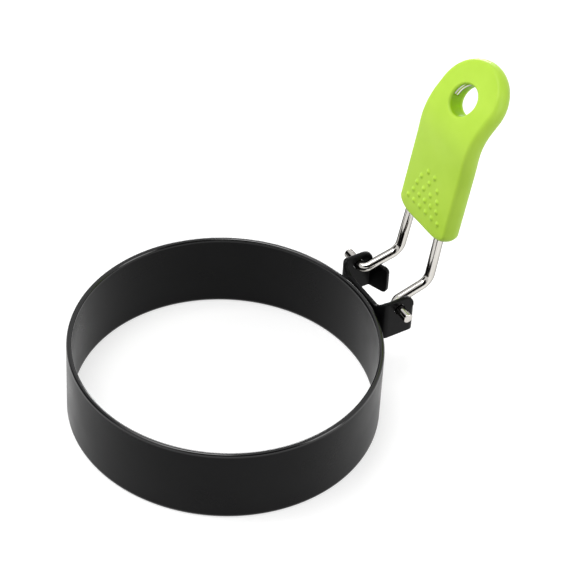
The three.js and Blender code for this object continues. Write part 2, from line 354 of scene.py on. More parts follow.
@dataclass(frozen=True)
class DrawnWire:
    """Stainless steel wire, drawn through a die and polished: bright, with faint lengthwise lines.

    The die's lines are a few hundredths of a millimetre apart, which is too fine to show, so
    they are drawn line_mm apart and run_mm long. They follow the bent wire through its unbent
    coordinates. At grazing angles it mirrors in the edge colour, near black: a painted dark
    reflection, which draws the dark line that a bright wire shows along its outline before white.
    """

    dark: str = "#c9c5bf"
    light: str = "#dcd9d4"
    # painted dark reflection: a near-black edge tint for the wire's dark outline
    edge: str = "#1c1a18"
    roughness: tuple[float, float] = (0.06, 0.12)
    line_mm: float = 0.22
    run_mm: float = 9.0
    line_strength: float = 0.05
    line_depth_mm: float = 0.01

    def material(self) -> bpy.types.Material:
        """The wire's material, on the attribute that holds its unbent coordinates.

        Returns:
            The new material.
        """
        material, tree = blank_material("drawn_stainless_wire")
        unbent = add_node(tree, "ShaderNodeAttribute", attribute_name="unbent")
        squeeze = {"Scale": (1.0, 1.0, self.line_mm / self.run_mm)}
        drawn = add_node(tree, "ShaderNodeMapping", squeeze, {"Vector": unbent.outputs["Vector"]})
        scale = {"Scale": 1 / (self.line_mm * MM), "Detail": NOISE_DETAIL}
        links = {"Vector": drawn.outputs["Vector"]}
        lines = add_node(tree, "ShaderNodeTexNoise", scale, links).outputs["Fac"]
        depth = {"Strength": self.line_strength, "Distance": self.line_depth_mm * MM}
        bump = add_node(tree, "ShaderNodeBump", depth, {"Height": lines})
        share = add_node(tree, "ShaderNodeMapRange", GRAIN_SPAN, {"Value": lines}).outputs["Result"]
        colours = {MIX_FIRST: linear(self.dark), MIX_SECOND: linear(self.light)}
        colour = add_node(tree, "ShaderNodeMix", colours, {MIX_FACTOR: share}, data_type="RGBA")
        span = {"A": self.roughness[0], "B": self.roughness[1]}
        roughness = add_node(tree, "ShaderNodeMix", span, {"Factor": share})
        shader = add_node(
            tree,
            "ShaderNodeBsdfPrincipled",
            # painted dark reflection: the near-black specular tint darkens the grazing edges
            {"Metallic": 1.0, "Specular Tint": linear(self.edge)},
            {
                "Base Color": colour.outputs[MIX_RESULT],
                "Roughness": roughness.outputs["Result"],
                "Normal": bump.outputs["Normal"],
            },
        )
        add_node(tree, "ShaderNodeOutputMaterial", None, {"Surface": shader.outputs["BSDF"]})
        return material


@dataclass(frozen=True)
class MouldedSilicone:
    """Silicone rubber, moulded in a spark-eroded tool: lime green, satin, softly glowing.

    Light goes a little way into it, which lifts its thin edges. The tool leaves a fine matt
    grain of about 0.05 mm, drawn at grain_mm so that it shows. In the hanging hole its colour
    is painted shade: a darker, deeper green that stands in for the shade between the hole's walls.
    """

    dark: str = "#b1d745"
    light: str = "#b7dc4b"
    # painted shade: the darker, deeper green of the hanging hole's wall
    painted_hole_shade: str = "#98c60c"
    roughness: tuple[float, float] = (0.34, 0.42)
    ior: float = 1.41
    gloss: float = 0.28
    glow: float = 0.08
    glow_mm: float = 1.2
    glow_spread: tuple[float, float, float] = (0.7, 1.0, 0.25)
    grain_mm: float = 0.3
    grain_strength: float = 0.2
    grain_depth_mm: float = 0.02
    patch_mm: float = 11.0

    def material(self) -> bpy.types.Material:
        """The silicone on Object coordinates, with the hole's painted shade from the attribute
        "inside".

        Returns:
            The new material.
        """
        material, tree = blank_material("moulded_silicone")
        where = {"Vector": add_node(tree, "ShaderNodeTexCoord").outputs["Object"]}
        scale = {"Scale": 1 / (self.grain_mm * MM), "Detail": NOISE_DETAIL}
        fine = add_node(tree, "ShaderNodeTexNoise", scale, where).outputs["Fac"]
        depth = {"Strength": self.grain_strength, "Distance": self.grain_depth_mm * MM}
        bump = add_node(tree, "ShaderNodeBump", depth, {"Height": fine})
        share = add_node(tree, "ShaderNodeMapRange", GRAIN_SPAN, {"Value": fine}).outputs["Result"]
        span = {"A": self.roughness[0], "B": self.roughness[1]}
        roughness = add_node(tree, "ShaderNodeMix", span, {"Factor": share})
        scale = {"Scale": 1 / (self.patch_mm * MM), "Detail": NOISE_DETAIL}
        patch = add_node(tree, "ShaderNodeTexNoise", scale, where)
        value = {"Value": patch.outputs["Fac"]}
        share = add_node(tree, "ShaderNodeMapRange", PATCH_SPAN, value).outputs["Result"]
        colours = {MIX_FIRST: linear(self.dark), MIX_SECOND: linear(self.light)}
        face_tone = add_node(tree, "ShaderNodeMix", colours, {MIX_FACTOR: share}, data_type="RGBA")
        inside = add_node(tree, "ShaderNodeAttribute", attribute_name="inside").outputs["Fac"]
        links = {MIX_FACTOR: inside, MIX_FIRST: face_tone.outputs[MIX_RESULT]}
        # painted shade: the hole's wall is mixed towards a darker, deeper green
        painted_hole_shade = {MIX_SECOND: linear(self.painted_hole_shade)}
        colour = add_node(tree, "ShaderNodeMix", painted_hole_shade, links, data_type="RGBA")
        shader = add_node(
            tree,
            "ShaderNodeBsdfPrincipled",
            {
                "IOR": self.ior,
                "Specular IOR Level": self.gloss,
                "Subsurface Weight": self.glow,
                "Subsurface Radius": self.glow_spread,
                "Subsurface Scale": self.glow_mm * MM,
            },
            {
                "Base Color": colour.outputs[MIX_RESULT],
                "Roughness": roughness.outputs["Result"],
                "Normal": bump.outputs["Normal"],
            },
        )
        add_node(tree, "ShaderNodeOutputMaterial", None, {"Surface": shader.outputs["BSDF"]})
        return material


@dataclass(frozen=True)
class Band:
    """The round cooking ring, one strip of coated steel closed into a hoop. Sizes in mm.

    Attributes:
        radius: outer radius.
        height: height from rim to rim.
        wall: thickness.
        rim_round: radius of the rims' corners.
        around, corner_steps, side_steps: steps of the mesh round the ring, on a corner and
            between corners.
    """

    radius: float = 50.0
    height: float = 27.0
    wall: float = 1.75
    rim_round: float = 0.82
    around: int = 320
    corner_steps: int = 6
    side_steps: int = 12

    def profile(self) -> Array:
        """The band's section: a rectangle of wall by height with its four corners rounded.

        Returns:
            Radius and height of each point of the closed section.
        """
        inner, r = self.radius - self.wall, self.rim_round
        centres = [
            (self.radius - r, r, -0.5),
            (self.radius - r, self.height - r, 0.0),
            (inner + r, self.height - r, 0.5),
            (inner + r, r, 1.0),
        ]
        corners = []
        for x, z, turn in centres:
            angle = math.pi * turn + arc(0.0, math.pi / 2, self.corner_steps)
            corners.append(np.column_stack([x + r * np.cos(angle), z + r * np.sin(angle)]))
        sides = []
        for corner, after in zip(corners, corners[1:] + corners[:1]):
            share = (0.5 - 0.5 * np.cos(arc(0.0, math.pi, self.side_steps)))[1:-1, None]
            sides += [corner, corner[-1] + share * (after[0] - corner[-1])]
        return np.concatenate(sides)

    def surface(self) -> Surface:
        """The section turned about the ring's axis: (r cos a, r sin a, z).

        Its attribute "rubbed" rises from 0 on the walls to 1 on the rounded rims.

        Returns:
            The band's surface.
        """
        section = self.profile()
        angle = arc(0.0, 2 * math.pi, self.around)[:-1, None]
        radius, height = section[:, 0], section[:, 1]
        level = np.broadcast_to(height, (self.around, len(height)))
        points = np.stack([radius * np.cos(angle), radius * np.sin(angle), level], axis=-1)
        r = self.rim_round
        into_rim = np.maximum(height - (self.height - r), r - height)
        rubbed = np.tile(smoothstep(0.0, r, into_rim + r / 2), self.around)
        faces = grid_quads(self.around, len(section), True, True)
        return Surface(points.reshape(-1, 3), faces, extras={"rubbed": rubbed})

    def build(self, bench: Bench, coating: bpy.types.Material) -> None:
        """Makes the band and lets it stand for the CAD band."""
        made = bench.piece("cooking_band", self.surface(), coating)
        hand_over(made, Body.RING, "ring_band")


@dataclass(frozen=True)
class HandleLine:
    """The side line that the handle's wire and grip follow, from the pin's axis. Sizes in mm.

    Attributes:
        pin_x, pin_z: the pin's axis, out from the ring's axis and up.
        leg_length, leg_rise: from the pin to the elbow's corner, and its angle above level.
        elbow_radius: radius of the elbow.
        stem_length: from the elbow's corner to the grip.
        grip_rise: angle of the stem and the grip above level.
        grip_straight: length of the grip's straight part.
        head_bend: radius of the bend under the grip's head.
        head_rise: angle of the head above level.
    """

    pin_x: float = 56.8
    pin_z: float = 26.2
    leg_length: float = 13.8
    leg_rise: float = math.radians(13.8)
    elbow_radius: float = 4.5
    stem_length: float = 16.05
    grip_rise: float = math.radians(80.3)
    grip_straight: float = 33.15
    head_bend: float = 22.5
    head_rise: float = math.radians(48.5)

    def elbow_tangent(self) -> float:
        """Length of a straight run that the elbow's arc takes up: r tan(turn / 2)."""
        return self.elbow_radius * math.tan((self.grip_rise - self.leg_rise) / 2)

    def grip_start(self) -> float:
        """Length along the line at which the grip begins."""
        straight = self.leg_length + self.stem_length - 2 * self.elbow_tangent()
        return straight + self.elbow_radius * (self.grip_rise - self.leg_rise)

    def runs(self) -> list[tuple[float, float]]:
        """The line's runs: straight, elbow, straight, bend of the head, straight.

        Returns:
            Length and turn of each run.
        """
        tangent = self.elbow_tangent()
        turn, back = self.grip_rise - self.leg_rise, self.head_rise - self.grip_rise
        return [
            (self.leg_length - tangent, 0.0),
            (self.elbow_radius * turn, turn),
            (self.stem_length + self.grip_straight - tangent, 0.0),
            (self.head_bend * -back, back),
            (math.inf, 0.0),
        ]

    def at(self, along: Array) -> tuple[Array, Array, Array]:
        """Place and rise of the line: each run adds its chord, and a bend adds its turn.

        Args:
            along: lengths along the line.

        Returns:
            Distance out from the ring's axis, height, and rise in radians.
        """
        left = np.asarray(along, float)
        x, z = np.full(left.shape, self.pin_x), np.full(left.shape, self.pin_z)
        rise = np.full(left.shape, self.leg_rise)
        for length, turn in self.runs():
            first = min(0.0, left.min()) if turn == 0.0 else 0.0
            step = np.clip(left, first, length)
            if turn == 0.0:
                x, z = x + step * np.cos(rise), z + step * np.sin(rise)
            else:
                radius, after = length / turn, rise + turn * step / length
                x = x + radius * (np.sin(after) - np.sin(rise))
                z = z + radius * (np.cos(rise) - np.cos(after))
                rise = after
            left = np.maximum(left - step, 0.0)
        return x, z, rise

    def place(self, along: Array, across: Array, depth: Array) -> Array:
        """Points at a length along, a distance across and a depth behind the line.

        Args:
            along: lengths along the line.
            across: distances sideways, along Y.
            depth: distances behind the line, away from the band.

        Returns:
            Points in millimetres, with a last axis of three.
        """
        x, z, rise = self.at(along)
        back, down = depth * np.sin(rise), depth * np.cos(rise)
        return np.stack([x + back, across + 0 * x, z - down], axis=-1)


@dataclass(frozen=True)
class BracketSheet:
    """The hinge bracket: one coated sheet with a base, two ears and two stop flaps. Sizes in mm.

    It is made as its flat pattern, with s across the sheet from the middle of the base and z up.
    The pattern is then bent along the plan's middle line.

    Attributes:
        thick: thickness of the sheet.
        edge_round, hole_round: radius of the outline's cut edge and of the holes' edges.
        edge_land: width of the flat strip inside that round.
        base_x: the middle of the base's sheet, out from the ring's axis.
        base_half: half the base's flat width.
        base_bend, flap_bend: middle radius of the bends.
        ear_length: flat length of an ear, up to its flap's bend.
        ear_tip: how far an ear's top reaches past the start of its flap's bend.
        ear_top, ear_corner: height of the ears, and radius of their outer corner.
        scoop_floor: height of the hollow between the ears.
        scoop_start, scoop_end: where the hollow's rise begins and ends in the pattern.
        bottom: height of the lower edge.
        flap_turn: angle that a flap is bent by.
        flap_top, flap_length, flap_corner: a flap's height, flat length and corner radius.
        relief: width of the cut between a flap and its ear.
        hole_x, hole_z, hole_radius: place and radius of the pin holes.
        hole_steps to flap_steps: steps of the mesh.
        crown_clear: how far the top edge's points stay from the ear's corner.
        pattern_mm, pattern_clear: spacing of the inner points, and their least distance from
            the loops.
        least_cosine: limits how far a sharp corner moves when a loop is inset.
        merge_mm: points that are closer than this are one.
        crease_deg: edges that turn more than this shade sharp.
    """

    thick: float = 1.5
    edge_round: float = 0.28
    edge_land: float = 0.06
    hole_round: float = 0.12
    base_x: float = 51.05
    base_half: float = 10.5
    base_bend: float = 1.75
    ear_length: float = 8.2
    ear_tip: float = 1.2
    ear_top: float = 29.85
    ear_corner: float = 3.5
    scoop_floor: float = 26.5
    scoop_start: float = 7.3
    scoop_end: float = 12.6
    bottom: float = 15.4
    flap_bend: float = 1.05
    flap_turn: float = math.radians(69.0)
    flap_top: float = 25.5
    flap_length: float = 6.75
    flap_corner: float = 1.8
    relief: float = 0.1
    hole_x: float = 56.8
    hole_z: float = 26.2
    hole_radius: float = 1.9
    hole_steps: int = 36
    corner_steps: int = 8
    bend_steps: int = 10
    round_steps: int = 4
    floor_steps: int = 8
    rise_steps: int = 14
    ear_steps: int = 10
    flap_steps: int = 5
    crown_clear: float = 0.2
    pattern_mm: float = 0.8
    pattern_clear: float = 0.36
    least_cosine: float = 0.6
    merge_mm: float = 1e-7
    crease_deg: float = 50.0

    def ear_start(self) -> float:
        """Where the ears begin in the pattern: after the base and its bend."""
        return self.base_half + self.base_bend * math.pi / 2

    def ear_end(self) -> float:
        """Where the flap's bend begins in the pattern."""
        return self.ear_start() + self.ear_length

    def flap_start(self) -> float:
        """Where the straight flap begins in the pattern."""
        return self.ear_end() + self.flap_bend * self.flap_turn

    def pattern_end(self) -> float:
        """The flap's tip in the pattern."""
        return self.flap_start() + self.flap_length

    def bent(self, pattern: Array, lift: Array | float) -> Array:
        """Bends points of the flat pattern round the base's, the ears' and the flaps' bends.

        On a bend of middle radius r, a point goes to centre + (r + lift)(cos a, sin a) with
        a = arc length / r. The ears' tips, above the flaps, stay in the ears' plane.

        Args:
            pattern: s and z of each point.
            lift: distance from the sheet's middle, outwards.

        Returns:
            Points in millimetres.
        """
        side, s, z = np.sign(pattern[:, 0]), np.abs(pattern[:, 0]), pattern[:, 1]
        lift = np.broadcast_to(lift, s.shape)
        on_base = np.minimum(s, self.base_half)
        first = np.clip((s - self.base_half) / self.base_bend, 0.0, math.pi / 2)
        on_ear = np.clip(s - self.ear_start(), 0.0, None)
        on_flap_side = (z < self.flap_top + self.relief / 2) & (s > self.ear_end())
        on_ear = np.where(on_flap_side, self.ear_length, on_ear)
        second = np.clip((s - self.ear_end()) / self.flap_bend, 0.0, self.flap_turn)
        second = np.where(on_flap_side, second, 0.0)
        on_flap = np.where(on_flap_side, np.clip(s - self.flap_start(), 0.0, None), 0.0)
        reach = self.base_bend + lift
        x = self.base_x + self.base_bend - reach * np.cos(first) + on_ear
        y = on_base + reach * np.sin(first)
        tight = self.flap_bend + lift
        x = x + tight * np.sin(second) + on_flap * np.cos(self.flap_turn)
        y = y - tight * (1 - np.cos(second)) - on_flap * np.sin(self.flap_turn)
        return np.column_stack([x, np.where(side < 0, -1.0, 1.0) * y, z])

    def top_edge(self, s: Array) -> Array:
        """Height of the top edge: level in the scoop, then one smooth rise to the ear's crown."""
        rise = self.ear_top - self.scoop_floor
        return self.scoop_floor + rise * smoothstep(self.scoop_start, self.scoop_end, s)

    def corner(self, s: float, z: float, radius: float, start: float, end: float) -> Array:
        """An arc of the outline about a centre, between two angles in quarter turns."""
        angle = arc(start * math.pi / 2, end * math.pi / 2, self.corner_steps)
        return np.column_stack([s + radius * np.cos(angle), z + radius * np.sin(angle)])

    def stations(self) -> Array:
        """Places across half the pattern: close together on the bends and the scoop's rise.

        Returns:
            Values of s, from the middle outwards.
        """
        stops = [0.0, self.scoop_start, self.base_half, self.ear_start(), self.ear_end()]
        stops += [self.flap_start(), self.pattern_end() - self.flap_corner]
        counts = [self.floor_steps, self.rise_steps, self.bend_steps, self.ear_steps]
        counts += [self.bend_steps, self.flap_steps]
        spans = zip(stops, stops[1:], counts)
        parts = [np.linspace(low, high, count + 1) for low, high, count in spans]
        return np.unique(np.round(np.concatenate(parts), 6))

    def outline(self) -> Array:
        """The pattern's outline: the right half upwards from the bottom's middle, then its mirror.

        Returns:
            Points s, z of the closed outline, anticlockwise.
        """
        end, c = self.pattern_end(), self.flap_corner
        s = self.stations()
        bottom = np.column_stack([s, np.full(s.shape, self.bottom)])[:-1]
        low = self.corner(end - c, self.bottom + c, c, -1.0, 0.0)
        high = self.corner(end - c, self.flap_top - c, c, 0.0, 1.0)
        on_flap = s[(s > self.ear_end()) & (s < end - c)][::-1]
        flap = np.column_stack([on_flap, np.full(on_flap.shape, self.flap_top)])
        notch = np.array([[self.ear_end(), self.flap_top + self.relief / 2]])
        tip_s, r = self.ear_end() + self.ear_tip, self.ear_corner
        tip = np.array([[tip_s, self.flap_top + self.relief]])
        crown = self.corner(tip_s - r, self.ear_top - r, r, 0.0, 1.0)
        on_top = s[s < tip_s - r - self.crown_clear][::-1]
        top = np.column_stack([on_top, self.top_edge(on_top)])
        right = np.concatenate([bottom, low, high, flap, notch, tip, crown, top])
        left = right[right[:, 0] > 0.0][::-1] * np.array([-1.0, 1.0])
        return np.concatenate([right, left])

    def inset(self, loop: Array, amount: float) -> Array:
        """Moves a loop's points towards the material along their mean edge normals.

        Args:
            loop: the loop's points.
            amount: how far its edges move.

        Returns:
            The moved points.
        """
        ahead = np.roll(loop, -1, axis=0) - loop
        normal = np.column_stack([ahead[:, 1], -ahead[:, 0]])
        normal /= np.linalg.norm(normal, axis=1, keepdims=True)
        mean = normal + np.roll(normal, 1, axis=0)
        mean /= np.linalg.norm(mean, axis=1, keepdims=True)
        stretch = np.clip(np.einsum("ij,ij->i", mean, normal), self.least_cosine, 1.0)
        return loop - mean * (amount / stretch)[:, None]

    def holes(self) -> list[Array]:
        """The two pin holes in the pattern, clockwise: s + r cos a and z + r sin a.

        Returns:
            The points of each hole.
        """
        angle = -arc(0.0, 2 * math.pi, self.hole_steps)[:-1]
        s = self.ear_start() + self.hole_x - self.base_x - self.base_bend
        across, z = self.hole_radius * np.cos(angle), self.hole_z + self.hole_radius * np.sin(angle)
        return [np.column_stack([side * s + across, z]) for side in (1, -1)]

    def inner_points(self, loops: list[Array]) -> Array:
        """Points inside the pattern, in columns at the stations, clear of every loop.

        Args:
            loops: the outline and the holes.

        Returns:
            The points, s and z.
        """
        s = self.stations()
        columns = np.concatenate([-s[:0:-1], s])
        z = np.arange(self.bottom + self.pattern_mm, self.ear_top, self.pattern_mm)
        grid = np.stack(np.meshgrid(columns, z, indexing="ij"), axis=-1).reshape(-1, 2)
        rim = np.concatenate(loops)
        gap = np.linalg.norm(grid[:, None, :] - rim[None, :, :], axis=-1).min(axis=1)
        return grid[self.inside(grid, loops) & (gap > self.pattern_clear)]

    @staticmethod
    def inside(points: Array, loops: list[Array]) -> Array:
        """Even-odd test: from inside, a level line crosses the loops an odd number of times.

        Args:
            points: the points to test.
            loops: closed loops of points.

        Returns:
            True or false for each point.
        """
        odd = np.zeros(len(points), bool)
        for loop in loops:
            a, b = loop, np.roll(loop, -1, axis=0)
            x, y = points[:, :1], points[:, 1:]
            spans = (a[:, 1] > y) != (b[:, 1] > y)
            rise = np.where(b[:, 1] == a[:, 1], 1.0, b[:, 1] - a[:, 1])
            crossing = a[:, 0] + (y - a[:, 1]) * (b[:, 0] - a[:, 0]) / rise
            odd ^= ((spans & (x < crossing)).sum(axis=1) % 2).astype(bool)
        return odd

    def pattern_mesh(self) -> tuple[Array, Array, list[Array]]:
        """Triangles over the flat pattern, inset from its outline and holes by the edge's round.

        A narrow flat land lies between them and the round, so that the faces shade flat.

        Returns:
            The points, with the loops' points first, the triangles, and the loops before inset.
        """
        loops = [self.outline(), *self.holes()]
        amounts = [r + self.edge_land for r in self.rounds()]
        inset = [self.inset(loop, amount) for loop, amount in zip(loops, amounts)]
        points = np.concatenate([*inset, self.inner_points(inset)])
        edges, first = [], 0
        for loop in inset:
            number = first + np.arange(len(loop))
            edges += np.column_stack([number, np.roll(number, -1)]).tolist()
            first += len(loop)
        corners = [Vector(point) for point in points.tolist()]
        made = delaunay_2d_cdt(corners, edges, [], 0, self.merge_mm, True)
        source = np.array([group[0] if group else -1 for group in made[3]])
        triangles = source[np.array(made[2])]
        if (triangles < 0).any():
            raise ValueError("the bracket's flat pattern crosses itself")
        middle = points[triangles].mean(axis=1)
        return points, triangles[self.inside(middle, inset)], loops

    def rounds(self) -> list[float]:
        """The edge's round of each loop: the outline's, then the holes'."""
        return [self.edge_round, self.hole_round, self.hole_round]

    def edge_profile(self, r: float) -> tuple[Array, Array]:
        """A cut edge, from the outer face to the inner: quarter circles at r - r sin a, r cos a.

        Args:
            r: radius that the edge is rounded by.

        Returns:
            Inset of each point, and its lift from the sheet's middle.
        """
        half = self.thick / 2
        angle = arc(0.0, math.pi / 2, self.round_steps)
        inset = r - r * np.sin(angle)
        lift = half - r + r * np.cos(angle)
        return np.concatenate([inset, inset[::-1]]), np.concatenate([lift, -lift[::-1]])

    def surface(self) -> Surface:
        """Both faces of the bent sheet, with a rounded edge round its outline and holes.

        Returns:
            The bracket's surface.
        """
        points, triangles, loops = self.pattern_mesh()
        half = self.thick / 2
        parts = [self.bent(points, half), self.bent(points, -half)]
        quads, first, count = [], 0, 2 * len(points)
        for loop, r in zip(loops, self.rounds()):
            profile = zip(*self.edge_profile(r))
            rings = [self.bent(self.inset(loop, inset), lift) for inset, lift in profile]
            size = len(loop)
            starts = [first, *range(count, count + size * len(rings), size), len(points) + first]
            table = np.array(starts)[:, None] + np.arange(size)
            quads.append(table.ravel()[grid_quads(*table.shape, False, True)])
            parts += rings
            first += size
            count += size * len(rings)
        both = np.concatenate([triangles, triangles[:, ::-1] + len(points)])
        return Surface(np.concatenate(parts), np.concatenate(quads), both)

    def build(self, bench: Bench, coating: bpy.types.Material) -> None:
        """Makes the bracket and lets it stand for the CAD bracket."""
        made = bench.piece("bracket_sheet", self.surface(), coating, self.crease_deg)
        hand_over(made, Body.RING, "hinge_bracket")


@dataclass(frozen=True)
class Hairpin:
    """The handle's wire, one length bent into a hairpin whose ends are the hinge pin. In mm.

    Attributes:
        line: the handle's side line.
        radius: radius of the wire.
        end_round: radius that its cut ends are rounded by.
        pin_end: how far out from the middle the pin's ends reach.
        leg_spread: how far out the legs begin.
        pin_corner: radius of the corner between pin and leg.
        loop_along, loop_radius: where the loop begins in the grip, and its radius.
        step, sides: spacing of the sections on the legs, and points round a section.
        pin_steps to end_steps: steps of the mesh.
        crease_deg: edges that turn more than this shade sharp.
    """

    line: HandleLine
    radius: float = 1.6
    end_round: float = 0.3
    pin_end: float = 18.1
    leg_spread: float = 8.95
    pin_corner: float = 2.35
    loop_along: float = 48.2
    loop_radius: float = 6.9
    step: float = 0.3
    sides: int = 72
    pin_steps: int = 23
    corner_steps: int = 14
    loop_steps: int = 26
    end_steps: int = 5
    crease_deg: float = 60.0

    def plan(self) -> Array:
        """The hairpin laid flat: pin, corner, leg, loop, and the mirror of the first half.

        Returns:
            Length along the handle and distance across, for each point of the middle line.
        """
        r, spread = self.pin_corner, self.leg_spread
        top = self.line.grip_start() + self.loop_along
        pin = np.linspace(self.pin_end, spread + r, self.pin_steps + 1)[:-1]
        turn = arc(math.pi, 1.5 * math.pi, self.corner_steps)
        leg = np.linspace(0.0, 1.0, int((top - r) / self.step))[1:-1]
        loop, wide = arc(math.pi / 2, 0.0, self.loop_steps), self.loop_radius
        half = np.concatenate(
            [
                np.column_stack([np.zeros(pin.shape), pin]),
                np.column_stack([r + r * np.cos(turn), spread + r + r * np.sin(turn)]),
                np.column_stack([r + leg * (top - r), spread + leg * (wide - spread)]),
                np.column_stack([top + wide * np.cos(loop), wide * np.sin(loop)]),
            ]
        )
        return np.concatenate([half, half[-2::-1] * np.array([1.0, -1.0])])

    def surface(self) -> Surface:
        """A circle carried along the folded hairpin.

        At each point the circle lies square to the path, between the handle's depth direction n
        and b = t x n, so p + r(cos a n + sin a b). Its radius shrinks as a quarter circle at
        each cut end.

        Returns:
            The wire's surface.
        """
        plan = self.plan()
        path = self.line.place(plan[:, 0], plan[:, 1], 0.0)
        rise = self.line.at(plan[:, 0])[2]
        tangent = np.gradient(path, axis=0)
        tangent /= np.linalg.norm(tangent, axis=1, keepdims=True)
        depth = np.column_stack([np.sin(rise), np.zeros(rise.shape), -np.cos(rise)])
        length = np.concatenate([[0.0], np.cumsum(np.linalg.norm(np.diff(path, axis=0), axis=1))])
        path, tangent, depth, length = self.with_ends(path, tangent, depth, length)
        r = self.end_round
        from_end = np.clip(np.minimum(length, length[-1] - length), 0.0, r)
        lost = r - np.sqrt(r**2 - (r - from_end) ** 2)
        radius = (self.radius - lost)[:, None, None]
        angle = arc(0.0, 2 * math.pi, self.sides)[:-1][None, :, None]
        across, down = np.cross(tangent, depth)[:, None], depth[:, None]
        rings = path[:, None] + radius * (np.cos(angle) * down + np.sin(angle) * across)
        return self.closed(rings, path, length, angle.ravel())

    def with_ends(
        self, path: Array, tangent: Array, depth: Array, length: Array
    ) -> tuple[Array, ...]:
        """Adds close sections at both cut ends, so that the rounding there has its points.

        Args:
            path: points of the middle line.
            tangent: its directions.
            depth: the handle's depth directions.
            length: length from the first end.

        Returns:
            The same four, with the added sections.
        """
        extra = self.end_round * (1 - np.cos(arc(0.0, math.pi / 2, self.end_steps)))[1:]
        wanted = np.unique(np.concatenate([length, extra, length[-1] - extra]))
        values = []
        for table in (path, tangent, depth):
            columns = [np.interp(wanted, length, table[:, axis]) for axis in range(3)]
            values.append(np.column_stack(columns))
        return (*values, wanted)

    def closed(self, rings: Array, path: Array, length: Array, angle: Array) -> Surface:
        """Closes the tube with a flat cap at each end.

        Its attribute "unbent" holds (r cos a, r sin a, length) in metres, as on a straight wire.

        Args:
            rings: the sections' points, ring by ring.
            path: points of the middle line.
            length: length from the first end.
            angle: angles of a section's points.

        Returns:
            The closed surface.
        """
        rows, sides = rings.shape[:2]
        points = np.concatenate([rings.reshape(-1, 3), path[[0, -1]]])
        number, last, end = np.arange(sides), (rows - 1) * sides, np.full(sides, rows * sides)
        after = np.roll(number, -1)
        first_cap = np.column_stack([end, after, number])
        caps = np.concatenate([first_cap, np.column_stack([end + 1, last + number, last + after])])
        section = self.radius * np.cos(angle), self.radius * np.sin(angle), length[:, None]
        straight = np.stack([np.broadcast_to(axis, (rows, sides)) for axis in section], axis=-1)
        tips = np.array([[0.0, 0.0, length[0]], [0.0, 0.0, length[-1]]])
        unbent = np.concatenate([straight.reshape(-1, 3), tips]) * MM
        quads = grid_quads(rows, sides, False, True)[:, ::-1]
        return Surface(points, quads, caps, {"unbent": unbent})

    def build(self, bench: Bench, steel: bpy.types.Material) -> None:
        """Makes the wire and lets it stand for the CAD wire."""
        made = bench.piece("hairpin_wire", self.surface(), steel, self.crease_deg)
        hand_over(made, Body.HANDLE, "wire_handle")


